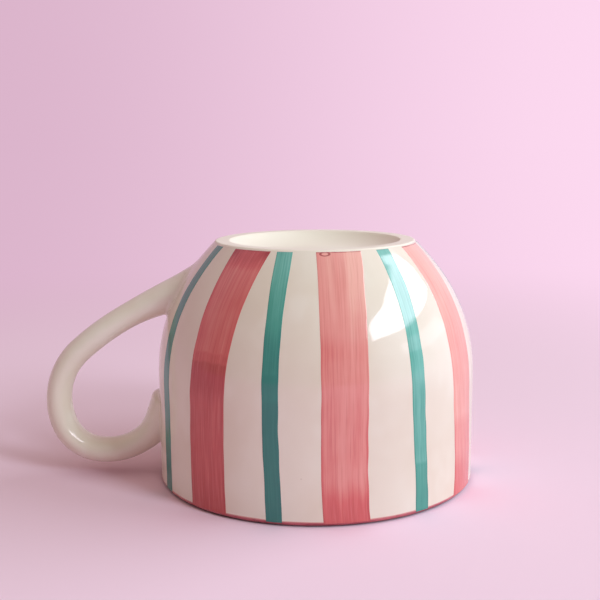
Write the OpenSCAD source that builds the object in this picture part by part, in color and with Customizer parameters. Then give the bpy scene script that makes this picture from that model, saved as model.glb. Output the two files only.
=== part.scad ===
// Striped ceramic mug, standing mouth down on its lip.
// Z = 0 is the plane of the lip, +Z runs up to the foot, and the handle is on -X.

/* [Cup] */
// Outside diameter of the lip and the straight wall
cup_d = 100; // [90:1:110]
// Height from the lip to the foot
cup_h = 76; // [76:0.5:79]
// Height of the straight wall above the lip
straight_h = 34.5; // [33:0.5:35]
// Radius of the shoulder's curve
shoulder_r = 53.5; // [52:0.5:54]
// Radius of the flatter curve from the shoulder to the foot
flank_r = 82; // [80:1:86]
// Thickness of the wall
wall_t = 4.5; // [3.8:0.1:5.2]
// Thickness of the base
base_t = 5; // [4:0.1:5]
// Radius of the corner inside, between the wall and the base
inner_corner_r = 6; // [4:0.5:6]

/* [Lip] */
// Radius of the lip's outer edge
lip_outer_r = 1.8; // [1.2:0.1:2]
// Radius of the lip's inner edge
lip_inner_r = 1.5; // [1:0.1:1.5]

/* [Foot] */
// Width of the foot ring
foot_ring_w = 4.2; // [3:0.1:6]
// Depth of the recess inside the foot ring
recess_depth = 4; // [3.8:0.1:4]
// Radius of the hollow curve between the recess's floor and the foot ring
recess_curve_r = 20; // [5:0.5:24]
// Radius of the foot's outer edge
foot_edge_r = 0.8; // [0.5:0.1:1]
// Radius of the foot ring's inner edge
ring_edge_r = 1; // [0.4:0.1:1]

/* [Handle] */
// Height at which the handle's middle line leaves the shoulder
handle_z = 58.5; // [57.5:0.5:59.5]
// Slope of the handle where it leaves the shoulder
handle_slope = 18; // [17:0.5:19]
// Radius of the long upper run
run_r = 88; // [84:1:92]
// Angle through which the upper run turns
run_turn = 23.5; // [22.5:0.5:24.5]
// Radius of the bend after the upper run
bend_r = 22; // [21:0.1:23]
// Angle through which the bend turns
bend_turn = 69.5; // [68:0.5:71]
// Radius of the tight turn at the outside
loop_r = 13.5; // [13:0.1:14]
// Angle through which the tight turn goes
loop_turn = 60; // [58:0.5:62]
// Radius of the run back to the straight wall
return_r = 20.4; // [20:0.1:21]
// Angle through which the run back turns
return_turn = 68; // [67:0.5:69]
// Thickness of the handle at its middle
handle_t = 8; // [7:0.1:9]
// Width of the handle at its middle, across the loop
handle_w = 10.4; // [8:0.1:12]
// Share by which the handle has swollen where its middle line leaves the shoulder
foot_swell = 0.4; // [0.2:0.01:0.45]
// Length over which it swells there
foot_run = 18; // [14:1:22]
// Share by which it has swollen where its middle line meets the straight wall
rim_swell = 0.32; // [0.2:0.01:0.36]
// Length over which it swells there
rim_run = 14; // [12:1:18]
// How far the coil runs on up the straight wall before its end is rounded over
tip_start = 5.8; // [5:0.1:6]
// Length of the rounded end
tip_len = 3.9; // [3.8:0.1:4.4]
// How far the slip spreads over the wall above the joint on the shoulder
foot_slip_outer = 3; // [2:0.1:4]
// How far it spreads there on the inside of the loop
foot_slip_inner = 2; // [1:0.1:2.5]
// How far the slip spreads round the joint on the straight wall
rim_slip = 1.2; // [1:0.1:1.5]

/* [Paint] */
// Width of a pink stripe
pink_w = 13.4; // [10:0.1:15]
// Lean of a pink stripe from upright, as drawn by hand
pink_lean = 1.2; // [0:0.1:2]
// Width of a teal stripe
teal_w = 5.2; // [3:0.1:7]
// Thickness of the paint
paint_t = 0.2; // [0.15:0.05:0.3]
// Turn of the whole pattern away from the handle
pattern_turn = -2.5; // [-5:0.1:5]
// How far a stripe strays from even spacing, as set out by eye
stripe_stray = 1.4; // [0:0.1:2]
// Bare clay between a stripe's end and the foot
foot_gap = 0.7; // [0.6:0.1:2]
// Height of the red line round the lip
rim_line_h = 1.5; // [1:0.1:1.8]
// Thickness of the red line, which is laid on more thickly than the stripes
rim_line_t = 0.3; // [0.3:0.05:0.4]

/* [Hidden] */
$fn = 180;
cream = [0.93, 0.88, 0.84];
pink = [0.86, 0.50, 0.50];
teal = [0.30, 0.60, 0.56];
maroon = [0.52, 0.12, 0.14];

rim_r = cup_d / 2;
floor_z = cup_h - recess_depth - base_t;

// The outline's two arcs meet at turn_at, where the line square to both rises 3 in 4.
turn_dir = [4, 3] / 5;
shoulder_c = [rim_r - shoulder_r, straight_h];
turn_at = shoulder_c + shoulder_r * turn_dir;
flank_c = turn_at - flank_r * turn_dir;

// A fourteenth of the way round for each stripe; the handle has one place to itself.
places = 14;
stripe_pitch = 360 / places;
pink_stripes = places / 2 - 1;
teal_stripes = places / 2;
// One wave of straying takes about six stripes.
stray_step = 58;
stray_start = -75;
// The red line stops this far above the plane of the lip.
rim_line_gap = 0.5;

// Outline of the cup

function turn_z(inset) = shoulder_c.y + (shoulder_r - inset) * turn_dir.y;
function flank_x(z, inset = 0) =
    flank_c.x + sqrt(pow(flank_r - inset, 2) - pow(z - flank_c.y, 2));
function shoulder_x(z) = shoulder_c.x + sqrt(pow(shoulder_r, 2) - pow(z - shoulder_c.y, 2));
function wall_r(z) =
    z < straight_h ? rim_r :
    z < turn_at.y ? shoulder_x(z) : flank_x(z);

// Half section above the height bottom, moved in by inset, with an edge of edge_r at the top.
module cup_half(inset, bottom, top, edge_r) {
    edge_c = [flank_x(top - edge_r, inset + edge_r), top - edge_r];
    edge_z = flank_c.y
        + (flank_r - inset) * (edge_c.y - flank_c.y) / (flank_r - inset - edge_r);
    translate([0, bottom])
        square([edge_c.x, top - bottom]);
    translate(edge_c)
        circle(edge_r);
    translate([0, bottom])
        square([rim_r - inset, straight_h - bottom]);
    intersection() {
        translate(shoulder_c)
            circle(shoulder_r - inset);
        translate([0, straight_h])
            square([cup_d, turn_z(inset) - straight_h]);
    }
    intersection() {
        translate(flank_c)
            circle(flank_r - inset);
        translate([0, turn_z(inset)])
            square([cup_d, edge_z - turn_z(inset)]);
    }
}

// Half section of the lip's outer edge, moved out by grow.
module lip_half(grow = 0) {
    translate([rim_r - lip_outer_r, lip_outer_r])
        circle(lip_outer_r + grow);
    translate([0, -grow])
        square([rim_r - lip_outer_r, lip_outer_r + grow]);
}

// Sweep of the handle, whose middle line lies in the plane Y = 0

arcs = [[run_r, run_turn], [bend_r, bend_turn], [loop_r, loop_turn], [return_r, return_turn]];
function arc_len(arc) = arc[0] * arc[1] * PI / 180;
function total(v, i = 0) = i == len(v) ? 0 : v[i] + total(v, i + 1);
path_len = total([for (arc = arcs) arc_len(arc)]);
path_start = [-wall_r(handle_z), handle_z];

function heading(a) = [-cos(a), -sin(a)];
function inward(a) = [sin(a), -cos(a)];
function arc_end(at, a, r, s) =
    let (b = a + s / r * 180 / PI)
    [at + r * (inward(a) - inward(b)), b];
// Point and slope of the middle line at length s; it runs straight on past both ends.
function along(s, i = 0, at = path_start, a = handle_slope) =
    s <= 0 || i == len(arcs) ? [at + s * heading(a), a] :
    s <= arc_len(arcs[i]) ? arc_end(at, a, arcs[i][0], s) :
    let (next = arc_end(at, a, arcs[i][0], arc_len(arcs[i])))
    along(s - arc_len(arcs[i]), i + 1, next[0], next[1]);

// The oval section swells towards both ends, and closes in a rounded tip past the rim end.
function foot_share(s) = foot_swell * pow(max(foot_run - s, 0) / foot_run, 2);
function rim_share(s) = rim_swell * pow(max(s - path_len + rim_run, 0) / rim_run, 2);
function tip(s) = sqrt(1 - pow(min(max(s - path_len - tip_start, 0) / tip_len, 1), 2));
function handle_point(s, phi) =
    let (
        pose = along(s),
        grow = (1 + foot_share(s) + rim_share(s)) * tip(s),
        mid = pose[0] + inward(pose[1]) * handle_t / 2 * grow * cos(phi)
    )
    [mid.x, handle_w / 2 * grow * sin(phi), mid.y];

// Length at which one line of the sweep meets the wall, between a length inside and one outside.
function outside(p) = norm([p.x, p.y]) > wall_r(p.z);
function meets_wall(phi, in, out, n = 18) =
    let (mid = (in + out) / 2)
    n == 0 ? mid :
    outside(handle_point(mid, phi)) ? meets_wall(phi, in, mid, n - 1) :
    meets_wall(phi, mid, out, n - 1);

// Share of its spread over the wall by which the slip runs along the handle
slip_rise = 0.7;
handle_sides = 28;
handle_rings = 56;
// How much closer the rings lie at both ends
end_ease = 0.7;
// Search range either side of the two ends of the middle line
run_in = 14;
phis = [for (j = [0 : handle_sides - 1]) 360 * j / handle_sides];
first_s = [for (phi = phis) meets_wall(phi, -run_in, run_in)];
last_s = [for (phi = phis) meets_wall(phi, path_len + run_in, path_len - run_in)];
// Rings 0 and handle_rings lie on the wall.
function ring_share(i) =
    let (t = i / handle_rings)
    t - end_ease * sin(360 * t) / (2 * PI);
function handle_ring(i) = [
    for (j = [0 : handle_sides - 1])
        handle_point(first_s[j] + (last_s[j] - first_s[j]) * ring_share(i), phis[j])
];

// Points on the wall are held as an angle from -X and a height.
function on_wall(q) = [-wall_r(q[1]) * cos(q[0]), wall_r(q[1]) * sin(q[0]), q[1]];
function wall_place(p) = [atan2(p.y, -p.x), p.z];
function mean(v) = total([for (q = v) q[1]]) / len(v);
function footprint(ring) = [for (p = ring) wall_place(p)];
function shrunk(marks, k) =
    let (mid = [0, mean(marks)])
    [for (q = marks) on_wall(mid + k * (q - mid))];

// Closed skin over a stack of rings, with a point at each end.
module ring_stack(rings, first_point, last_point) {
    n = len(rings[0]);
    rows = len(rings);
    points = concat([for (ring = rings) each ring], [first_point, last_point]);
    faces = concat(
        [for (i = [0 : rows - 2], j = [0 : n - 1])
            each quad(i * n + j, i * n + (j + 1) % n, (i + 1) * n + (j + 1) % n, (i + 1) * n + j)],
        [for (j = [0 : n - 1]) [rows * n, (j + 1) % n, j]],
        [for (j = [0 : n - 1]) [rows * n + 1, (rows - 1) * n + j, (rows - 1) * n + (j + 1) % n]]
    );
    polyhedron(points, faces);
}

// Closed skin over rings that go round and meet again, like a collar.
module ring_loop(rings) {
    n = len(rings[0]);
    rows = len(rings);
    faces = [for (i = [0 : rows - 1], j = [0 : n - 1])
        let (k = (i + 1) % rows)
        each quad(i * n + j, i * n + (j + 1) % n, k * n + (j + 1) % n, k * n + j)];
    polyhedron([for (ring = rings) each ring], faces);
}

function quad(a, b, c, d) = [[a, b, c], [a, c, d]];

// Collar of slip round the joint whose lines meet the wall at wall_s; turn is 1 where they leave it
// and -1 where they return. It spreads by inner on the inside of the loop and by outer opposite.
module slip_collar(wall_s, turn, inner, outer) {
    steps = 4;
    reach = [for (phi = phis) (inner + outer + (inner - outer) * cos(phi)) / 2];
    // Rows along the handle, from the wall to the edge of the slip
    under = [for (i = [0 : steps])
        [for (j = [0 : handle_sides - 1])
            handle_point(wall_s[j] + turn * slip_rise * reach[j] * i / steps, phis[j])]];
    marks = footprint(under[0]);
    mid = [0, mean(marks)];
    spread = [for (j = [0 : handle_sides - 1])
        let (
            step = [(marks[j][0] - mid[0]) * PI / 180 * rim_r, marks[j][1] - mid[1]],
            go = reach[j] * step / norm(step)
        )
        [go[0] / rim_r * 180 / PI, go[1]]];
    // Hollow curve from the edge on the handle to the edge on the wall
    fillet = [for (i = [1 : steps])
        let (u = i / steps)
        [for (j = [0 : handle_sides - 1])
            (1 - u) * under[steps - i][j] + u * on_wall(marks[j] + u * spread[j])]];
    rings = concat(under, fillet);
    ring_loop(turn > 0 ? [for (i = [len(rings) - 1 : -1 : 0]) rings[i]] : rings);
}

// Sub-parts

module cup_body() {
    color(cream)
        rotate_extrude()
            difference() {
                union() {
                    cup_half(0, lip_outer_r, cup_h, foot_edge_r);
                    lip_half();
                }
                cup_half(wall_t, -1, floor_z, inner_corner_r);
                lip_inner_edge();
                foot_recess(wall_r(cup_h) - foot_ring_w);
            }
}

// What is cut away to round the lip's inner edge.
module lip_inner_edge() {
    translate([rim_r - wall_t, 0])
        difference() {
            translate([-1, -1])
                square(lip_inner_r + 1);
            translate([lip_inner_r, lip_inner_r])
                circle(lip_inner_r);
        }
}

// A flat middle, then a hollow curve that meets the foot's plane at radius r in a rounded edge.
module foot_recess(r) {
    deep_z = cup_h - recess_depth;
    curve_w = sqrt(pow(recess_curve_r, 2) - pow(recess_curve_r - recess_depth, 2));
    curve_c = [r - curve_w, deep_z + recess_curve_r];
    edge_rise = curve_c.y - cup_h + ring_edge_r;
    edge_w = sqrt(pow(recess_curve_r + ring_edge_r, 2) - pow(edge_rise, 2));
    edge_c = [curve_c.x + edge_w, cup_h - ring_edge_r];
    meet = curve_c + (edge_c - curve_c) * recess_curve_r / (recess_curve_r + ring_edge_r);
    translate([0, deep_z])
        square([curve_c.x, recess_depth + 1]);
    intersection() {
        translate(curve_c)
            circle(recess_curve_r);
        translate([0, deep_z])
            square([cup_d, recess_depth + 1]);
    }
    difference() {
        translate(meet)
            square([edge_c.x - meet.x, cup_h - meet.y + 1]);
        translate(edge_c)
            circle(ring_edge_r);
    }
}

module handle() {
    // Two rings and a point fill each end, following the wall.
    cap = [1 / 3, 2 / 3];
    first = footprint(handle_ring(0));
    last = footprint(handle_ring(handle_rings));
    color(cream)
        ring_stack(
            concat(
                [for (k = cap) shrunk(first, k)],
                [for (i = [0 : handle_rings]) handle_ring(i)],
                [for (k = [cap[1], cap[0]]) shrunk(last, k)]
            ),
            on_wall([0, mean(first)]),
            on_wall([0, mean(last)])
        );
}

module foot_end_slip() {
    color(cream)
        slip_collar(first_s, 1, foot_slip_inner, foot_slip_outer);
}

module rim_end_slip() {
    color(cream)
        slip_collar(last_s, -1, rim_slip, rim_slip);
}

module rim_line() {
    color(maroon)
        rotate_extrude()
            intersection() {
                difference() {
                    lip_half(rim_line_t);
                    lip_half();
                }
                translate([rim_r - lip_outer_r, rim_line_gap])
                    square([cup_d, rim_line_h - rim_line_gap]);
            }
}

// A stripe of constant width w in the place numbered from the handle, leaning about its lip end.
module stripe(place, w, lean) {
    angle = 180 + pattern_turn + stripe_pitch * place
        + stripe_stray * cos(stray_step * place + stray_start);
    intersection() {
        rotate_extrude()
            intersection() {
                difference() {
                    cup_half(-paint_t, 0, cup_h, foot_edge_r);
                    cup_half(0, -1, cup_h + 1, foot_edge_r);
                }
                translate([0, rim_line_h])
                    square([cup_d, cup_h - foot_gap - rim_line_h]);
            }
        rotate([0, 0, angle])
            rotate([-lean, 0, 0])
                translate([0, -w / 2, -cup_h])
                    cube([cup_d, w, 3 * cup_h]);
    }
}

module pink_stripe(i) {
    color(pink)
        stripe(2 * i, pink_w, pink_lean);
}

module teal_stripe(i) {
    color(teal)
        stripe(2 * i - 1, teal_w, 0);
}

cup_body();
handle();
foot_end_slip();
rim_end_slip();
rim_line();
for (i = [1 : pink_stripes]) pink_stripe(i);
for (i = [1 : teal_stripes]) teal_stripe(i);
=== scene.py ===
import math
import bmesh
import bpy
import numpy as np
from mathutils import Matrix


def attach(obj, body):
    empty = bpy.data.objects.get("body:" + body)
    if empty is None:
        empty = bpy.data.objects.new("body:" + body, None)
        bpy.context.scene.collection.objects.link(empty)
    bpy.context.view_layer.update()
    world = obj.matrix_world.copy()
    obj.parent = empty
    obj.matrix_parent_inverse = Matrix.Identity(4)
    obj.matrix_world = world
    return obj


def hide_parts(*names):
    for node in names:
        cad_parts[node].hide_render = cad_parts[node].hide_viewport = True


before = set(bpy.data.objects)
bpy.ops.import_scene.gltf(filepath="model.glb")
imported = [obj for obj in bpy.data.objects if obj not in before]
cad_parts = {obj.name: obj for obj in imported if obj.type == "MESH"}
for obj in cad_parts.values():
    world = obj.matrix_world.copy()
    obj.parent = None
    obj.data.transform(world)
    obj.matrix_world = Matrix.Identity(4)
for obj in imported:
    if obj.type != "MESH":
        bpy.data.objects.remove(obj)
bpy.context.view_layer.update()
print("frame loaded,", len(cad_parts), "nodes")

# Shapes are worked out in millimetres and scaled once, in skin().
mm = 0.001
tau = 2 * math.pi


# a span in millimetres as metres, for shaders, which see the finished mesh
def metres(span):
    return [value * mm for value in span]


# a shader socket that sums can be written with
class Wire:
    def __init__(self, tree, socket=None):
        self.tree = tree
        self.socket = socket

    def node(self, kind, settings=None, sockets=None, out=0):
        made = self.tree.nodes.new("ShaderNode" + kind)
        for key, value in (settings or {}).items():
            setattr(made, key, value)
        for key, value in (sockets or {}).items():
            if isinstance(value, Wire):
                self.tree.links.new(value.socket, made.inputs[key])
            else:
                made.inputs[key].default_value = value
        return Wire(self.tree, made.outputs[out] if made.outputs else None)

    # the named parts of a vector
    def parts(self, whole, names):
        outs = self.node("SeparateXYZ", {}, {0: whole}).socket.node.outputs
        return [Wire(self.tree, outs[name]) for name in names]

    def maths(self, operation, first, second=0.0):
        return self.node("Math", {"operation": operation}, {0: first, 1: second})

    def __add__(self, other):
        return self.maths("ADD", self, other)

    def __radd__(self, other):
        return self.maths("ADD", other, self)

    def __sub__(self, other):
        return self.maths("SUBTRACT", self, other)

    def __rsub__(self, other):
        return self.maths("SUBTRACT", other, self)

    def __mul__(self, other):
        return self.maths("MULTIPLY", self, other)

    def __rmul__(self, other):
        return self.maths("MULTIPLY", other, self)

    def __pow__(self, other):
        return self.maths("POWER", self, other)

    def __abs__(self):
        return self.maths("ABSOLUTE", self)

    def most(self, other):
        return self.maths("MAXIMUM", self, other)

    # 0 at low, 1 at high, eased at both ends; low may be the larger
    def ease(self, low, high):
        settings = {"interpolation_type": "SMOOTHSTEP"}
        if low > high:
            return 1 - self.ease(high, low)
        return self.node("MapRange", settings, {"Value": self, "From Min": low, "From Max": high})

    # colours a and b mixed by this value
    def tint(self, a, b):
        return self.node("Mix", {"data_type": "RGBA"}, {0: self, 6: a, 7: b}, 2)


# a colour as it is seen on a screen, 0 to 255, as the linear value that a shader takes
def seen(red, green, blue):
    parts = []
    for value in (red, green, blue):
        share = value / 255
        parts.append(share / 12.92 if share <= 0.04045 else ((share + 0.055) / 1.055) ** 2.4)
    return (*parts, 1.0)


def newFinish(name):
    finish = bpy.data.materials.new(name)
    finish.use_nodes = True
    finish.node_tree.nodes.clear()
    return finish, Wire(finish.node_tree)


# noise between about 0 and 1, at a place that is given in cells
def cloud(kit, x, y, z, detail=2.0, rough=0.5):
    at = kit.node("CombineXYZ", {}, {"X": x, "Y": y, "Z": z})
    return kit.node("TexNoise", {}, {"Vector": at, "Scale": 1.0, "Detail": detail, "Roughness": rough})


# wires summed, each times its weight
def weigh(wires, weights):
    return sum(wire * weight for wire, weight in zip(wires, weights))


# fired gloss glaze over whatever colour lies under it
def glazeOver(kit, colour, roughness, relief, depth):
    bump = kit.node("Bump", {}, {"Strength": 1.0, "Distance": depth, "Height": relief})
    shader = kit.node("BsdfPrincipled", {}, {
        "Base Color": colour,
        "Roughness": roughness,
        "IOR": 1.6,
        "Normal": bump,
    })
    kit.node("OutputMaterial", {}, {"Surface": shader})


# The cup's outline, which everything on the wall follows

cup = {
    "rim": 50.0,
    "height": 76.0,
    "straight": 34.5,
    "shoulder": 53.5,
    "flank": 82.0,
    "turn": (0.8, 0.6),         # direction square to both arcs where they meet
    "wall": 4.5,
    "floor": 67.0,
    "innerCorner": 6.0,
    "lipOuter": 1.8,
    "lipInner": 1.5,
    "footEdge": 0.8,
    "footRing": 4.2,
    "ringEdge": 1.0,
    "recessFloor": 72.0,
    "recessCurve": 20.0,
    "outOfRound": 0.16,         # slow sway of the wall
    "oval": (0.6, 0.7),         # the share and phase of it that goes twice round the wall
    "threeSided": (0.4, -1.2),  # and of what goes three times round
    "twist": 30.0,              # height over which the three sides turn by a radian
    "throwRings": 0.012,        # faint rings from the wheel
    "throwPitch": 6.5,
    "ringSway": (0.9, 0.4),     # how far they rise and fall round the wall, and their phase
    "around": 320,
}
shoulderMid = (cup["rim"] - cup["shoulder"], cup["straight"])
turnPoint = [m + cup["shoulder"] * d for m, d in zip(shoulderMid, cup["turn"])]
flankMid = [p - cup["flank"] * d for p, d in zip(turnPoint, cup["turn"])]


def wallRadius(z):
    z = np.asarray(z, float)
    shoulder = shoulderMid[0] + np.sqrt(np.maximum(cup["shoulder"] ** 2 - (z - shoulderMid[1]) ** 2, 0))
    flank = flankMid[0] + np.sqrt(np.maximum(cup["flank"] ** 2 - (z - flankMid[1]) ** 2, 0))
    return np.where(z < cup["straight"], cup["rim"], np.where(z < turnPoint[1], shoulder, flank))


# how far the wall's normal tips upwards, as a sine
def wallTip(z):
    z = np.asarray(z, float)
    shoulder = (z - shoulderMid[1]) / cup["shoulder"]
    flank = (z - flankMid[1]) / cup["flank"]
    return np.where(z < cup["straight"], 0.0, np.where(z < turnPoint[1], shoulder, flank))


# slow waves round the wall, and the rings that the wheel leaves
def handSway(angle, z):
    (oval, ovalAt), (sides, sidesAt) = cup["oval"], cup["threeSided"]
    ringSway, ringAt = cup["ringSway"]
    slow = oval * np.cos(2 * angle + ovalAt) + sides * np.cos(3 * angle + sidesAt + z / cup["twist"])
    rings = np.sin(tau * z / cup["throwPitch"] + ringSway * np.cos(angle + ringAt))
    return cup["outOfRound"] * slow + cup["throwRings"] * rings


# points at radius r and height z on the wheel, with the hand-made sway of the wall
def turned(r, z, angle):
    r, z, angle = np.broadcast_arrays(np.asarray(r, float), np.asarray(z, float), np.asarray(angle, float))
    swayed = r + handSway(angle, z) * r / wallRadius(np.maximum(z, 0))
    return np.stack([swayed * np.cos(angle), swayed * np.sin(angle), z], -1)


def onWall(angle, z, lift=0.0):
    tip = wallTip(z)
    return turned(wallRadius(z) + lift * np.sqrt(1 - tip ** 2), z + lift * tip, angle)


# Meshes from rings of points

# rings joined side by side; a loop's last ring joins its first, and other skins are closed at both ends
def skin(name, rings, loop=False, stroke=None):
    rings = np.asarray(rings, float)
    rows, count = rings.shape[:2]
    points = [tuple(p) for p in rings.reshape(-1, 3) * mm]
    faces = []
    for i in range(rows if loop else rows - 1):
        low = i * count
        high = (i + 1) % rows * count
        for j in range(count):
            k = (j + 1) % count
            faces.append((low + j, low + k, high + k, high + j))
    if not loop:
        for first, ring in ((0, rings[0]), ((rows - 1) * count, rings[-1])):
            points.append(tuple(ring.mean(0) * mm))
            faces += [(len(points) - 1, first + (j + 1) % count, first + j) for j in range(count)]
    mesh = bpy.data.meshes.new(name)
    mesh.from_pydata(points, [], faces)
    if stroke is not None:
        layStroke(mesh, stroke)
    shell = bmesh.new()
    shell.from_mesh(mesh)
    bmesh.ops.recalc_face_normals(shell, faces=shell.faces)
    shell.to_mesh(mesh)
    shell.free()
    mesh.polygons.foreach_set("use_smooth", [True] * len(mesh.polygons))
    piece = bpy.data.objects.new(name, mesh)
    bpy.context.scene.collection.objects.link(piece)
    return piece


# across and along a brush stroke, for each point of its rings, as a UV map
def layStroke(mesh, stroke):
    flat = np.asarray(stroke, float).reshape(-1, 2)
    ends = [stroke[0].mean(0), stroke[-1].mean(0)]
    flat = np.vstack([flat, ends])
    layer = mesh.uv_layers.new(name="stroke")
    corners = np.empty(len(mesh.loops), int)
    mesh.loops.foreach_get("vertex_index", corners)
    layer.data.foreach_set("uv", flat[corners].ravel())


def settle(piece, node, finish):
    piece.data.materials.append(finish)
    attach(piece, "root")
    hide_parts(node)


# points of an arc in the half section, from one angle to another in degrees
def arc(middle, radius, start, end, count):
    turn = np.radians(np.linspace(start, end, count))
    return np.stack([middle[0] + radius * np.cos(turn), middle[1] + radius * np.sin(turn)], -1)


def run(a, b, count):
    return np.linspace(a, b, count + 2)[1:-1]


# Cream glaze on the clay

cream = {
    "cupTones": [seen(238, 226, 213), seen(231, 215, 199), seen(242, 232, 221)],       # body, thick, thin
    # the handle's tones are a little paler than the cup's: painted light that stands in for extra light on
    # the handle
    "litHandleTones": [seen(241, 232, 219), seen(235, 222, 206), seen(244, 237, 226)],
    "bare": seen(241, 229, 216),
    # paler than the body's tone: painted light that lifts the shade in the recess
    "recess": seen(241, 230, 217),
    "speck": seen(150, 112, 88),
    "speckShow": 0.2,
    "specks": 210.0,            # cells in a metre, a few of which hold a speck
    "speckPick": (0.95, 0.98),  # random values above which a cell does
    "speckEdge": (0.07, 0.03),  # distances from the cell's middle over which the speck comes in
    "mottle": 34,               # cells in a metre of each kind of unevenness
    "drift": (95, 60),          # around and up
    "grain": 900,
    "relief": (0.8, 0.35, 0.012),       # how much mottle, drift and grain raise the surface
    "thickFrom": (0.3, 0.75),           # values of the mottle over which the thick tone comes in
    "thinFrom": (0.45, 0.8),            # values of the drift over which the thin one does
    "thinShow": 0.6,
    "wiped": (75.45, 75.8),     # heights between which the glaze stops on the foot ring
    "recessEdge": (28.5, 27.0),         # radii between which the recess starts
    "recessDeep": (69.5, 71.0),         # heights that tell it from the inside of the cup
    "gloss": 0.055,
    "dull": 0.05,               # how much duller the drifts are
    "dullFrom": (0.4, 0.9),
    "dry": 0.42,
    "satin": 0.5,               # the thin glaze in the recess
    "ripple": 0.00005,
}


def makeCream(name, tones):
    finish, kit = newFinish(name)
    place = kit.node("TexCoord", {}, {}, "Object")
    x, y, z = kit.parts(place, "XYZ")
    body, thick, thin = tones
    wide, fine = cream["mottle"], cream["grain"]
    around, up = cream["drift"]
    mottle = cloud(kit, x * wide, y * wide, z * wide, detail=3.0)
    drift = cloud(kit, x * around, y * around, z * up)
    grain = cloud(kit, x * fine, y * fine, z * fine)
    colour = mottle.ease(*cream["thickFrom"]).tint(body, thick)
    colour = (drift.ease(*cream["thinFrom"]) * cream["thinShow"]).tint(colour, thin)
    # scattered iron specks, a few tenths of a millimetre across
    cell = kit.node("TexVoronoi", {}, {"Vector": place, "Scale": cream["specks"]})
    pick = Wire(kit.tree, cell.socket.node.outputs["Color"])
    rare = kit.node("SeparateColor", {}, {0: pick})
    speck = cell.ease(*cream["speckEdge"]) * rare.ease(*cream["speckPick"])
    colour = (speck * cream["speckShow"]).tint(colour, cream["speck"])
    # glaze is wiped from the foot ring, which stays dry, and is thin in the recess; the recess is also
    # tinted paler, painted light that lifts its shade
    dry = z.ease(*metres(cream["wiped"]))
    radius = (x * x + y * y) ** 0.5
    recess = radius.ease(*metres(cream["recessEdge"])) * z.ease(*metres(cream["recessDeep"]))
    colour = dry.tint(recess.tint(colour, cream["recess"]), cream["bare"])
    rough = cream["gloss"] + cream["dull"] * drift.ease(*cream["dullFrom"])
    rough = rough.most(recess * cream["satin"]).most(dry * cream["dry"])
    relief = weigh((mottle, drift, grain), cream["relief"])
    glazeOver(kit, colour, rough, relief, cream["ripple"])
    return finish


cupGlaze = makeCream("cupGlaze", cream["cupTones"])
# the same cream on the handle and its slips, tinted paler there as painted light
litHandleGlaze = makeCream("litHandleGlaze", cream["litHandleTones"])
print("cream glaze made")


def cupOutline():
    top = cup["height"]
    edgeZ = top - cup["footEdge"]
    edgeX = flankMid[0] + math.sqrt((cup["flank"] - cup["footEdge"]) ** 2 - (edgeZ - flankMid[1]) ** 2)
    flankTop = math.degrees(math.asin((edgeZ - flankMid[1]) / (cup["flank"] - cup["footEdge"])))
    turnAngle = math.degrees(math.asin(cup["turn"][1]))
    recess = float(wallRadius(top)) - cup["footRing"]
    hollow = cup["recessCurve"]
    hollowZ = cup["recessFloor"] + hollow
    hollowX = recess - math.sqrt(hollow ** 2 - (hollowZ - top) ** 2)
    ringZ = top - cup["ringEdge"]
    ringX = hollowX + math.sqrt((hollow + cup["ringEdge"]) ** 2 - (hollowZ - ringZ) ** 2)
    ringTurn = math.degrees(math.atan2(ringZ - hollowZ, ringX - hollowX))
    lipX = cup["rim"] - cup["lipOuter"]
    inner = cup["rim"] - cup["wall"]
    innerLipX = inner + cup["lipInner"]
    innerEdge = cup["floor"] - cup["innerCorner"]
    cornerReach = cup["flank"] - cup["wall"] - cup["innerCorner"]
    cornerX = flankMid[0] + math.sqrt(cornerReach ** 2 - (innerEdge - flankMid[1]) ** 2)
    innerTop = math.degrees(math.asin((innerEdge - flankMid[1]) / cornerReach))
    # each line and arc ends with how many points it has
    return np.vstack([
        run((0, cup["recessFloor"]), (hollowX, cup["recessFloor"]), 14),
        arc((hollowX, hollowZ), hollow, -90, ringTurn, 14),
        arc((ringX, ringZ), cup["ringEdge"], 180 + ringTurn, 90, 7)[1:],
        run((ringX, top), (edgeX, top), 4),
        arc((edgeX, edgeZ), cup["footEdge"], 90, flankTop, 8),
        arc(flankMid, cup["flank"], flankTop, turnAngle, 14)[1:],
        arc(shoulderMid, cup["shoulder"], turnAngle, 0, 48)[1:],
        run((cup["rim"], cup["straight"]), (cup["rim"], cup["lipOuter"]), 40),
        arc((lipX, cup["lipOuter"]), cup["lipOuter"], 0, -90, 12),
        arc((innerLipX, cup["lipInner"]), cup["lipInner"], -90, -180, 12),
        run((inner, cup["lipInner"]), (inner, cup["straight"]), 24),
        arc(shoulderMid, cup["shoulder"] - cup["wall"], 0, turnAngle, 32),
        arc((cornerX, innerEdge), cup["innerCorner"], innerTop, 90, 14),
        run((cornerX, cup["floor"]), (0, cup["floor"]), 18),
    ])


def makeCup():
    angle = np.linspace(0, tau, cup["around"], endpoint=False)
    rings = [turned(r, z, angle) for r, z in cupOutline()]
    piece = skin("cupBody", rings)
    settle(piece, "cup_body", cupGlaze)


makeCup()
print("cup turned")


# The handle, a pulled coil swept along four arcs in the plane Y = 0

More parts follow.
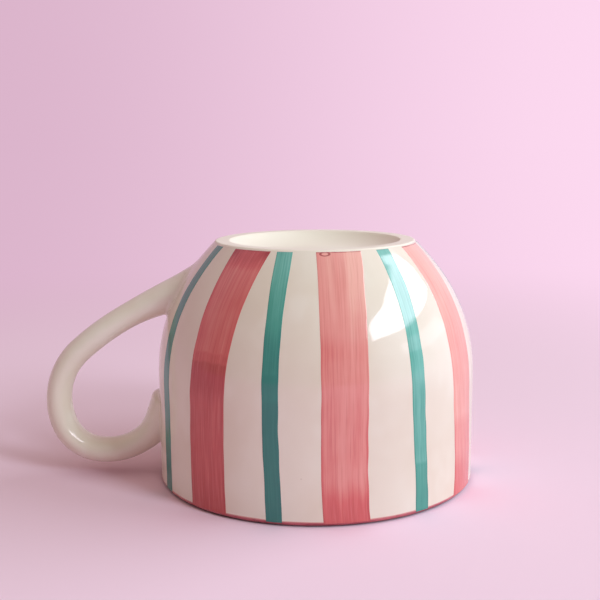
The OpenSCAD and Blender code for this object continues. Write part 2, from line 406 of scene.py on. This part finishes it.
pull = {
    "startZ": 58.5,
    "slope": 18.0,
    "arcs": [(88.0, 23.5), (22.0, 69.5), (13.5, 60.0), (20.4, 68.0)],   # radius, turn in degrees
    "thick": 8.0,
    "wide": 10.4,
    "footSwell": 0.4,
    "footRun": 18.0,
    "rimSwell": 0.32,
    "rimRun": 14.0,
    "tipStart": 5.8,            # the coil's rounded end, past the end of its middle line
    "tipLength": 3.9,
    "uneven": 0.012,            # share by which the coil's thickness wanders
    "lumps": (0.11, 0.5),       # waves along the coil: radians a millimetre, and phase
    "dents": (0.23, 0.6),       # waves that wind round it: radians a millimetre, and size beside the lumps
    "sides": 64,
    "rings": 150,
    "sink": 0.6,                # how far each end runs into the wall
    "search": 14.0,             # how far from an end the wall is looked for
    "halvings": 20,
}
pullLength = sum(r * math.radians(turn) for r, turn in pull["arcs"])
pullStart = np.array([-float(wallRadius(pull["startZ"])), pull["startZ"]])


def heading(a):
    return np.array([-math.cos(a), -math.sin(a)])


def inward(a):
    return np.array([math.sin(a), -math.cos(a)])


# point and slope of the coil's middle line, which runs straight on past both ends
def alongPull(s):
    at = pullStart
    a = math.radians(pull["slope"])
    if s <= 0:
        return at + s * heading(a), a
    for radius, turn in pull["arcs"]:
        length = radius * math.radians(turn)
        b = a + min(s, length) / radius
        at = at + radius * (inward(a) - inward(b))
        a = b
        if s <= length:
            return at, a
        s -= length
    return at + s * heading(a), a


def pullPoint(s, phi):
    at, a = alongPull(s)
    foot = pull["footSwell"] * (max(pull["footRun"] - s, 0) / pull["footRun"]) ** 2
    rim = pull["rimSwell"] * (max(s - pullLength + pull["rimRun"], 0) / pull["rimRun"]) ** 2
    tip = min(max(s - pullLength - pull["tipStart"], 0) / pull["tipLength"], 1)
    slow, phase = pull["lumps"]
    quick, size = pull["dents"]
    wander = pull["uneven"] * (math.sin(slow * s + phase) + size * math.sin(quick * s + 2 * phi))
    grow = (1 + foot + rim + wander) * math.sqrt(1 - tip ** 2)
    x, z = at + inward(a) * pull["thick"] / 2 * grow * math.cos(phi)
    return np.array([x, pull["wide"] / 2 * grow * math.sin(phi), z])


def outsideWall(point):
    angle = math.atan2(point[1], point[0])
    skinRadius = wallRadius(point[2]) + handSway(angle, point[2])
    return math.hypot(point[0], point[1]) > skinRadius


# length at which one line of the sweep meets the wall
def meetsWall(phi, buried, clear):
    for halving in range(pull["halvings"]):
        middle = (buried + clear) / 2
        if outsideWall(pullPoint(middle, phi)):
            clear = middle
        else:
            buried = middle
    return (buried + clear) / 2


pullSides = np.linspace(0, tau, pull["sides"], endpoint=False)
search = pull["search"]
footMeets = np.array([meetsWall(phi, -search, search) for phi in pullSides])
rimMeets = np.array([meetsWall(phi, pullLength + search, pullLength - search) for phi in pullSides])


def makeHandle():
    first = footMeets - pull["sink"]
    last = rimMeets + pull["sink"]
    rings = []
    for share in np.linspace(0, 1, pull["rings"]):
        lengths = first + (last - first) * share
        rings.append([pullPoint(s, phi) for s, phi in zip(lengths, pullSides)])
    piece = skin("pulledHandle", rings)
    settle(piece, "handle", litHandleGlaze)
    return piece


handlePiece = makeHandle()
print("handle pulled")


# Slip smoothed round each joint of the handle

slip = {
    "foot": {"outer": 3.0, "inner": 2.0},
    "rim": {"outer": 1.2, "inner": 1.2},
    "rise": 0.7,                # share of its spread over the wall by which it runs along the handle
    "steps": 12,
    "under": 0.35,              # how far its underside is sunk
}


def makeSlip(name, node, meets, turn, spread):
    inner, outer = spread["inner"], spread["outer"]
    reach = (inner + outer + (inner - outer) * np.cos(pullSides)) / 2
    root = np.array([pullPoint(s, phi) for s, phi in zip(meets, pullSides)])
    rootAngle = np.arctan2(root[:, 1], -root[:, 0])
    across = rootAngle * cup["rim"]
    up = root[:, 2] - root[:, 2].mean()
    size = np.hypot(across, up)

    # points on the handle and on the wall, a share of the way from the joint to the slip's edge
    def onHandle(share, lift=0.0):
        lengths = meets + turn * slip["rise"] * reach * share
        points = np.array([pullPoint(s, phi) for s, phi in zip(lengths, pullSides)])
        inwards = np.array([np.insert(alongPull(s)[0], 1, 0) for s in lengths]) - points
        return points + lift * inwards / np.linalg.norm(inwards, axis=1)[:, None]

    def overWall(share, lift=0.0):
        angle = rootAngle + share * reach * across / size / cup["rim"]
        return onWall(math.pi - angle, root[:, 2] + share * reach * up / size, lift)

    rings = [(1 - u) * onHandle(1 - u) + u * overWall(u) for u in np.linspace(0, 1, slip["steps"])]
    rings += [overWall(1, -slip["under"]), overWall(0, -slip["under"]), onHandle(1, slip["under"])]
    piece = skin(name, rings, loop=True)
    settle(piece, node, litHandleGlaze)


makeSlip("footEndSlip", "foot_end_slip", footMeets, 1, slip["foot"])
makeSlip("rimEndSlip", "rim_end_slip", rimMeets, -1, slip["rim"])
print("joints slipped")


# Brushed stripes

brush = {
    "heights": (3.0, 22.0, 45.0, 62.0, 74.0),       # where a stroke's sway is given
    "low": 1.1,
    "high": 75.45,
    "rows": 96,
    "film": 0.05,               # how far the paint stands above the clay
    "edge": (0.0, 0.1, 0.25),   # distances from an edge
    "rise": (-1.0, 0.6, 1.0),   # share of the film at each
    "even": 0.6,                # evenly spaced points start this far from an edge
    "sunk": -0.35,
    "raggedness": 0.028,        # how far an edge wanders
    "waves": 6,
    "pitch": (0.08, 0.11),      # the slowest wave, and the step to each next, in radians a millimetre
    "lipPart": 10.0,            # height below which a CAD stripe is read for its place
    "seed": 41,
    "cut": 17.0,                # distance in the noise from one stroke to the next
    "hairs": (2.4, 4.0),        # noise cells in a millimetre across, and along the stroke
    "bands": (0.5, 1.6),
    "loads": (1.3, 7.0),        # cells across the stroke, and along it
    "drift": 3.0,               # slow straying of the hairs: cells along the stroke
    "drifting": 0.05,           # and how far, as a share of its width
    "depth": 0.5,               # depth of the paint before load and noise change it
    "depths": (0.5, 0.5, 0.35),         # how much hairs, bands and loads do
    "lapBreaks": (2.5, 1.5),    # millimetres by which hairs and bands break up a lap's line
    "towardsFoot": (48.0, 74.0),        # heights over which a stroke's load changes
    "towardsLip": (16.0, 3.0),
    "upperHalf": (34.0, 52.0),
    "edgeFull": 0.1,            # an edge is at its deepest up to this far in
    "edgeDepths": (0.1, 0.25),  # how much deeper it is, and how much more lower down
    "edgeRuns": (50.0, 12.0),           # heights over which that comes in
    # each colour, the depths of paint between which it takes over, and how far it does
    "levels": [("body", 0.0, 0.55, 1.0), ("deep", 0.45, 1.1, 1.0), ("pool", 0.9, 1.8, 0.45)],
    "darkHairs": (-0.02, 0.25),         # values of the hairs over which they show dark
    "hairShow": 0.14,
    "paleHairs": (0.02, -0.2),          # and over which they show pale, where the paint is this deep
    "whereDeep": (0.75, 1.2),
    "endFull": 0.12,            # the dark line at a stroke's end is full this far from it
    "endUneven": (0.75, 1.5),   # how strong it is, and how much bands change that
    # a blister is pale inside a dark ring: distances from its middle over which each comes in and goes
    "blisterIn": (0.9, 0.5),
    "blisterPale": 0.3,
    "blisterRing": ((1.35, 1.1), (0.6, 0.85)),
    "blisterDark": 0.75,
    "relief": (0.35, 0.5, 0.3),         # how much hairs, bands and the edge raise the surface
    "gloss": 0.07,
    "dull": 0.05,               # how much duller the hair marks are
    "ripple": 0.00005,
}
# width: at the lip and at the foot
# sway: degrees at each of the brush's heights
# load: how loaded the brush was, and how much more at the foot and at the lip
# laps: where the stroke was taken up again, and on pink_stripe_1 also where a painted reflection's edge
# lies: height, how much deeper below, how soft the line is
# leftward: how much deeper the upper half is on its left
# corners: paint that ran into them: how deep, and the spans from edge and end over which it sets in
# blister: share across, height, half its width, half its height
strokes = {
    "teal_stripe_1": {
        "width": (5.2, 5.0),
        "sway": (0.4, 0.4, 0.4, 0.4, 0.4),
        "load": (0.35, 0.0, 0.2),
        "laps": [],
    },
    "pink_stripe_1": {
        "width": (13.9, 13.4),
        "sway": (0.1, -0.15, 0.8, 2.15, 3.4),
        "load": (1.0, -0.05, 0.2),
        # its steps at 47.4 and 44.8 mm are partly a lap and partly a painted reflection: the edge of the
        # mirrored horizon, paler above and darker below
        "laps": [(71.5, -0.55, 1.8), (47.4, 0.25, 0.4), (44.8, 0.4, 0.5), (36.0, -0.25, 3.0)],
        "corners": (0.6, (4.5, 0.3), (3.0, 0.6)),
    },
    "teal_stripe_2": {
        "width": (4.8, 4.95),
        "sway": (0.95, 0.25, 0.05, -0.05, -0.85),
        "load": (0.15, -0.4, 0.15),
        "laps": [(55.0, 0.25, 4.0), (43.0, 0.2, 1.0), (35.8, 0.3, 1.0)],
    },
    "pink_stripe_2": {
        "width": (13.6, 13.5),
        "sway": (0.05, -0.55, -0.25, 0.6, 2.5),
        "load": (0.0, -0.18, 0.5),
        "leftward": 0.4,
        "laps": [(52.0, 0.15, 3.0)],
        "blister": (0.19, 74.85, 1.35, 0.5),
    },
    "teal_stripe_3": {
        "width": (4.9, 4.9),
        "sway": (2.1, 1.0, 0.2, 1.15, 2.4),
        "load": (-0.3, -0.1, 0.1),
        "laps": [(40.0, 0.1, 3.0), (15.5, 0.2, 0.8)],
    },
    "pink_stripe_3": {
        "width": (13.8, 13.0),
        "sway": (0.8, 0.3, -1.3, 0.5, 2.9),
        "load": (-0.15, -0.2, 0.3),
        "laps": [(24.0, 0.3, 2.5)],
    },
}
# strokes that weren't measured: mean and spread where a value is normal, or else its limits
plain = {
    "sway": (0.0, 0.5),         # degrees
    "load": (0.1, 0.12),
    "atFoot": (-0.3, 0.1),
    "atLip": (0.0, 0.4),
    "lap": [(18, 60), (0.1, 0.35), (0.5, 3.0)],
}
paints = {
    "pink": {
        "pale": seen(244, 184, 172),
        "body": seen(234, 152, 145),
        "deep": seen(217, 101, 101),
        "pool": seen(150, 26, 38),
        "slot": "pink_paint",
        "width": (13.6, 13.1),
        "spots": 26,            # points across a stroke
        "rim": 1.1,             # width of the deeper edge
        "bead": 0.5,            # dark line where the paint ran to the end of the stroke
        "beadDepth": 0.8,
        "streak": 0.3,          # how far the body colour shows between hairs where the paint is deep
    },
    "teal": {
        "pale": seen(126, 192, 182),
        "body": seen(76, 158, 144),
        "deep": seen(50, 132, 123),
        "pool": seen(30, 92, 94),
        "slot": "teal_paint",
        "width": (5.3, 5.0),
        "spots": 14,
        "rim": 0.6,
        "bead": 0.4,
        "beadDepth": 0.25,
        "streak": 0.1,
    },
}


# middle angle of a stripe at the lip, read from its CAD solid
def cadAngle(node):
    points = np.array([v.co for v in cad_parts[node].data.vertices])
    low = points[points[:, 2] < brush["lipPart"] * mm]
    middle = math.atan2(low[:, 1].mean(), low[:, 0].mean())
    off = np.angle(np.exp(1j * (np.arctan2(low[:, 1], low[:, 0]) - middle)))
    return middle + (off.min() + off.max()) / 2


def makePaint(name, paint, look, seed):
    finish, kit = newFinish(name)
    width = look["width"][0]
    load, atFoot, atLip = look["load"]
    (hairX, hairY), (bandX, bandY), (loadX, loadY) = brush["hairs"], brush["bands"], brush["loads"]
    place = kit.node("UVMap", {"uv_map": "stroke"})
    across, along = kit.parts(place, "XY")
    height = along * cup["height"]
    inset = (0.5 - abs(across - 0.5)) * width       # millimetres from the nearer edge
    # each kind of noise is cut at a place of its own
    brushed = across + (cloud(kit, along * brush["drift"], 0.0, seed + 7.3) - 0.5) * brush["drifting"]
    hairs = cloud(kit, brushed * (width * hairX), along * hairY, seed, detail=3.0, rough=0.6) - 0.5
    bands = cloud(kit, brushed * (width * bandX), along * bandY, seed + 3.1) - 0.5
    loads = cloud(kit, across * loadX, along * loadY, seed + 5.7) - 0.5
    depth = brush["depth"] + load + weigh((hairs, bands, loads), brush["depths"])
    depth = depth + height.ease(*brush["towardsFoot"]) * atFoot
    depth = depth + height.ease(*brush["towardsLip"]) * atLip
    if "leftward" in look:
        depth = depth + (0.5 - across) * height.ease(*brush["upperHalf"]) * look["leftward"]
    ragged = height + weigh((hairs, bands), brush["lapBreaks"])
    for level, deeper, soft in look["laps"]:
        depth = depth + ragged.ease(level + soft, level - soft) * deeper
    edge = inset.ease(paint["rim"], brush["edgeFull"])
    allOver, lowDown = brush["edgeDepths"]
    depth = depth + edge * (allOver + lowDown * height.ease(*brush["edgeRuns"]))
    colour = paint["pale"]
    for tone, low, high, share in brush["levels"]:
        colour = (depth.ease(low, high) * share).tint(colour, paint[tone])
    colour = (hairs.ease(*brush["darkHairs"]) * brush["hairShow"]).tint(colour, paint["pool"])
    between = hairs.ease(*brush["paleHairs"]) * depth.ease(*brush["whereDeep"])
    colour = (between * paint["streak"]).tint(colour, paint["body"])
    # paint that ran to the end of the stroke, and into its corners
    toEnd = brush["high"] - height
    strong, change = brush["endUneven"]
    pooled = toEnd.ease(paint["bead"], brush["endFull"]) * paint["beadDepth"] * (strong + bands * change)
    if "corners" in look:
        deep, fromEdge, fromEnd = look["corners"]
        pooled = pooled.most(inset.ease(*fromEdge) * toEnd.ease(*fromEnd) * deep)
    colour = pooled.tint(colour, paint["pool"])
    if "blister" in look:
        at, level, halfWide, halfTall = look["blister"]
        x = (across - at) * (width / halfWide)
        y = (height - level) * (1 / halfTall)
        ring = (x * x + y * y) ** 0.5
        outer, inner = brush["blisterRing"]
        colour = (ring.ease(*brush["blisterIn"]) * brush["blisterPale"]).tint(colour, paint["pale"])
        colour = (ring.ease(*outer) * ring.ease(*inner) * brush["blisterDark"]).tint(colour, paint["pool"])
    relief = weigh((hairs, bands, edge), brush["relief"])
    glazeOver(kit, colour, brush["gloss"] + brush["dull"] * hairs, relief, brush["ripple"])
    return finish


def plainStroke(paint, draw):
    sway = draw.normal(*plain["sway"], len(brush["heights"]))
    load = draw.normal(*plain["load"]), draw.uniform(*plain["atFoot"]), draw.uniform(*plain["atLip"])
    lap = [draw.uniform(*limits) for limits in plain["lap"]]
    return {"width": paint["width"], "sway": sway, "load": load, "laps": [lap]}


def makeStripe(node, index, draw):
    paint = paints[node.split("_")[0]]
    spare = plainStroke(paint, draw)
    look = strokes.get(node, spare)
    lean = np.polyfit(brush["heights"], look["sway"], len(brush["heights"]) - 1)
    base = cadAngle(node)
    length = brush["high"] - brush["low"]
    inset = np.array(brush["edge"])
    rise = np.array(brush["rise"]) * brush["film"]
    even = brush["even"]
    steps = np.concatenate([inset, np.linspace(even, length - even, brush["rows"]), (length - inset)[::-1]])
    ragged = draw.normal(0, brush["raggedness"], (2, brush["waves"]))
    phase = draw.uniform(0, tau, (2, brush["waves"]))
    pitch = brush["pitch"][0] + brush["pitch"][1] * np.arange(brush["waves"])
    rings = []
    stroke = []
    for step in steps:
        z = brush["low"] + step
        share = z / cup["height"]
        width = look["width"][0] + (look["width"][1] - look["width"][0]) * share
        wander = (ragged * np.sin(z * pitch + phase)).sum(1)
        left = -width / 2 + wander[0]
        right = width / 2 + wander[1]
        inner = np.linspace(left + even, right - even, paint["spots"])
        spots = np.concatenate([left + inset, inner, (right - inset)[::-1]])
        fromEdge = np.minimum(np.minimum(spots - left, right - spots), min(step, length - step))
        lift = np.interp(fromEdge, inset, rise)
        spots = np.concatenate([spots, [right, 0.0, left]])
        lift = np.concatenate([lift, [brush["sunk"]] * 3])
        angle = base + math.radians(np.polyval(lean, z)) + spots / float(wallRadius(z))
        rings.append(onWall(angle, np.full(len(spots), z), lift))
        stroke.append(np.stack([(spots - left) / (right - left), np.full(len(spots), share)], -1))
    name = node.split("_")[0] + "Stripe" + node.split("_")[2]
    finish = makePaint(name + "Paint", paint, look, index * brush["cut"])
    piece = skin(name, rings, stroke=np.array(stroke))
    settle(piece, node, finish)


def makeStripes():
    draw = np.random.default_rng(brush["seed"])
    names = sorted(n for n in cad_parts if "_stripe_" in n)
    for index, node in enumerate(names):
        makeStripe(node, index + 1, draw)
    print(len(names), "stripes brushed")


makeStripes()


# Red line round the lip

rimLine = {
    "low": 0.02,
    "high": 1.9,
    "film": 0.07,
    "sunk": -0.3,
    "shares": (0, 0.1, 0.3, 0.7, 0.9, 1),       # of the way over the line
    "rise": (-1, 0.5, 1, 1, 0.5, -1),           # and how far it rises there, in films
    "points": 12,
    "load": (120, 300),         # noise cells in a metre, around and up
    "fine": (700, 2500),
    "uneven": 0.1 / 3,          # size of the waves of its upper edge
    "waves": (3, 7, 11, 15, 19, 23, 27),        # how many of each go round the lip
    "around": 360,
    "pale": seen(234, 176, 170),        # where the line thins out towards the wall
    "bright": seen(204, 104, 113),
    "body": seen(158, 50, 66),
    # dark flecks in the paint, and painted shadow along the line's lower edge
    "darkAndShadow": seen(84, 6, 26),
    # what is laid over the body: the colour, what it follows, from where to where, and how far it covers
    "layers": [
        ("bright", "load", (0.3, 0.7), 1.0),
        ("bright", "height", (0.9, 1.5), 0.7),
        ("darkAndShadow", "fine", (0.45, 0.8), 0.4),
        ("pale", "height", (1.2, 1.8), 0.75),
        # painted contact shadow: the line darkens towards its lower edge, where the lip meets the floor
        ("darkAndShadow", "height", (1.0, 0.3), 0.9),
    ],
    "gloss": 0.08,
    "ripple": 0.00003,
    "seed": 5,
}


def makeRimRed():
    finish, kit = newFinish("rimRed")
    x, y, z = kit.parts(kit.node("TexCoord", {}, {}, "Object"), "XYZ")
    around, up = rimLine["load"]
    load = cloud(kit, x * around, y * around, z * up, detail=3.0)
    around, up = rimLine["fine"]
    fine = cloud(kit, x * around, y * around, z * up)
    guides = {"load": load, "fine": fine, "height": z * (1 / mm)}
    colour = rimLine["body"]
    for tone, guide, span, share in rimLine["layers"]:
        colour = (guides[guide].ease(*span) * share).tint(colour, rimLine[tone])
    glazeOver(kit, colour, rimLine["gloss"] * (1 + fine), load, rimLine["ripple"])
    return finish


def makeRimLine():
    draw = np.random.default_rng(rimLine["seed"])
    waves = np.array(rimLine["waves"])
    size = draw.normal(0, rimLine["uneven"], len(waves))
    phase = draw.uniform(0, tau, len(waves))
    middle = (cup["rim"] - cup["lipOuter"], cup["lipOuter"])
    rise = np.interp(np.linspace(0, 1, rimLine["points"]), rimLine["shares"], rimLine["rise"])
    reach = cup["lipOuter"] + np.concatenate([rise * rimLine["film"], [rimLine["sunk"]] * 3])
    low = math.asin((rimLine["low"] - middle[1]) / cup["lipOuter"])
    rings = []
    for angle in np.linspace(0, tau, rimLine["around"], endpoint=False):
        sway = (size * np.sin(waves * angle + phase)).sum()
        high = math.asin((rimLine["high"] + sway - middle[1]) / cup["lipOuter"])
        turn = np.linspace(low, high, rimLine["points"])
        turn = np.concatenate([turn, [high, (low + high) / 2, low]])
        rings.append(turned(middle[0] + reach * np.cos(turn), middle[1] + reach * np.sin(turn), angle))
    piece = skin("rimLine", rings, loop=True)
    settle(piece, "rim_line", makeRimRed())


makeRimLine()
print("rim line banded")


# Floor, light and camera

studio = {
    "floor": seen(247, 214, 235),
    "floorRadius": 6.0,
    "floorSides": 96,
    "left": seen(219, 180, 203),        # the backdrop, which is paler towards the lamps
    "right": seen(253, 217, 240),
    "spread": 0.32,
    "fadeFrom": 0.08,                   # distances over which the floor turns into the backdrop
    "fadeTo": 0.55,
    "standBack": (0.0, 0.35, 0.0),      # the floor's tint is judged from this far in front
    "closest": 0.1,                     # and gets weaker within this distance
    # soft light that is strongest from one direction: that direction, and its colour times strength
    "soft": [
        ((0.0, 0.0, 1.0), (0.59, 0.46, 0.39, 1.0)),
        ((-1.0, 0.0, 0.0), (0.12, 0.13, 0.10, 1.0)),
    ],
    "room": (0.45, 0.44, 0.4, 1.0),     # what gloss on the near side mirrors
    "roomEdge": 0.3,                    # how softly it turns into the backdrop
    "daylight": (0.76, 0.93, 0.97),
    "shineColour": (0.95, 0.88, 1.0, 1.0),
    "shineAt": 0.98,            # plane in which the panes that gloss mirrors stand
}
# panes that light the scene: watts, place and size
panes = {
    "nearPane": (19.1, (1.01, -0.95, 0.8), (0.5, 0.5)),
    "farPane": (14.5, (1.0, 0.2, 0.8), (1.35, 0.7)),
}
# panes that gloss mirrors: strength, and their outline in Y and Z
shines = {
    "upperShine": (7.2, [
        (-1.06, 0.64), (-0.5, 0.54), (0.0, 0.47), (0.5, 0.55), (0.62, 0.75), (0.6, 1.0),
        (0.25, 1.36), (0.15, 1.2), (0.25, 1.12), (0.0, 1.1), (-0.5, 0.98), (-1.06, 0.95),
    ]),
    "lowerShine": (1.8, [(-0.5, 0.27), (0.05, 0.2), (0.35, 0.2), (0.42, 0.27), (0.25, 0.36), (-0.5, 0.36)]),
    "sideShine": (9.0, [(-1.7, 0.4), (-1.2, 0.4), (-1.2, 1.8), (-1.7, 1.8)]),      # on the handle only
}


def rayKinds(kit):
    rays = kit.node("LightPath").socket.node.outputs
    return [Wire(kit.tree, rays["Is " + kind + " Ray"]) for kind in ("Camera", "Glossy", "Transmission")]


def backdrop(kit, sideways):
    return sideways.ease(-studio["spread"], studio["spread"]).tint(studio["left"], studio["right"])


def makeFloor():
    disc = bmesh.new()
    sides, radius = studio["floorSides"], studio["floorRadius"]
    bmesh.ops.create_circle(disc, cap_ends=True, segments=sides, radius=radius)
    mesh = bpy.data.meshes.new("floor")
    disc.to_mesh(mesh)
    disc.free()
    floor = bpy.data.objects.new("floor", mesh)
    bpy.context.scene.collection.objects.link(floor)
    finish, kit = newFinish("paleFloor")
    place = kit.node("TexCoord", {}, {}, "Object")
    away = kit.node("VectorMath", {"operation": "LENGTH"}, {0: place}, "Value")
    ahead = kit.node("VectorMath", {"operation": "ADD"}, {0: place, 1: studio["standBack"]})
    reach = kit.node("VectorMath", {"operation": "LENGTH"}, {0: ahead}, "Value")
    sideways = kit.parts(place, "X")[0] * (reach + studio["closest"]) ** -1
    matt = kit.node("BsdfDiffuse", {}, {"Color": studio["floor"]})
    glow = kit.node("Emission", {}, {"Color": backdrop(kit, sideways), "Strength": 1.0})
    camera, glossy, through = rayKinds(kit)
    far = away.ease(studio["fadeFrom"], studio["fadeTo"]) * camera.most(glossy).most(through)
    mixed = kit.node("MixShader", {}, {0: far, 1: matt, 2: glow})
    kit.node("OutputMaterial", {}, {"Surface": mixed})
    mesh.materials.append(finish)


def makeWorld():
    world = bpy.data.worlds.new("studio")
    bpy.context.scene.world = world
    world.use_nodes = True
    world.node_tree.nodes.clear()
    kit = Wire(world.node_tree)
    aim = kit.node("TexCoord", {}, {}, "Generated")
    x, y = kit.parts(aim, "XY")
    soft = kit.node("Background", {}, {"Strength": 0.0})
    for towards, colour in studio["soft"]:
        facing = kit.node("VectorMath", {"operation": "DOT_PRODUCT"}, {0: aim, 1: towards}, "Value")
        glow = kit.node("Background", {}, {"Color": colour, "Strength": facing.most(0.0)})
        soft = kit.node("AddShader", {}, {0: soft, 1: glow})
    camera, glossy, through = rayKinds(kit)
    behind = y.ease(-studio["roomEdge"], studio["roomEdge"])
    shown = camera.most(behind).tint(studio["room"], backdrop(kit, x))
    pale = kit.node("Background", {}, {"Color": shown, "Strength": 1.0})
    mixed = kit.node("MixShader", {}, {0: camera.most(glossy).most(through), 1: soft, 2: pale})
    kit.node("OutputWorld", {}, {"Surface": mixed})


def makePane(name, watts, at, size):
    lamp = bpy.data.lights.new(name, "AREA")
    lamp.shape = "RECTANGLE"
    lamp.size, lamp.size_y = size
    lamp.energy = watts
    lamp.color = studio["daylight"]
    pane = bpy.data.objects.new(name, lamp)
    # faces -X, with its long side along Y
    turn = Matrix(((0, 0, 1), (1, 0, 0), (0, 1, 0))).to_4x4()
    pane.matrix_world = Matrix.Translation(at) @ turn
    pane.visible_camera = False
    pane.visible_glossy = False
    bpy.context.scene.collection.objects.link(pane)


def makeShine(name, strength, outline):
    mesh = bpy.data.meshes.new(name)
    mesh.from_pydata([(studio["shineAt"], y, z) for y, z in outline], [], [range(len(outline))])
    finish, kit = newFinish(name)
    glow = kit.node("Emission", {}, {"Color": studio["shineColour"], "Strength": strength})
    kit.node("OutputMaterial", {}, {"Surface": glow})
    mesh.materials.append(finish)
    pane = bpy.data.objects.new(name, mesh)
    pane.visible_camera = False
    pane.visible_diffuse = False
    pane.visible_shadow = False
    bpy.context.scene.collection.objects.link(pane)
    return pane


lens = {
    "millimetres": 61.3,
    "sensor": 36.0,
    "nearest": 0.01,            # metres within which nothing is drawn
    "at": (-0.00475, -0.32147, 0.1093),
    "down": 9.342,
    "roll": -0.427,
}


def makeCamera():
    camera = bpy.data.cameras.new("camera")
    camera.lens = lens["millimetres"]
    camera.sensor_width = lens["sensor"]
    camera.clip_start = lens["nearest"]
    stand = bpy.data.objects.new("camera", camera)
    tilt = Matrix.Rotation(math.radians(90 - lens["down"]), 4, "X")
    roll = Matrix.Rotation(math.radians(lens["roll"]), 4, "Z")
    stand.matrix_world = Matrix.Translation(lens["at"]) @ tilt @ roll
    bpy.context.scene.collection.objects.link(stand)
    bpy.context.scene.camera = stand


makeFloor()
makeWorld()
for name, (watts, at, size) in panes.items():
    makePane(name, watts, at, size)
handleOnly = bpy.data.collections.new("handleOnly")
handleOnly.objects.link(handlePiece)
for name, (strength, outline) in shines.items():
    shine = makeShine(name, strength, outline)
    if name == "sideShine":
        shine.light_linking.receiver_collection = handleOnly
makeCamera()
bpy.context.scene.view_settings.view_transform = "Standard"
print("studio set")
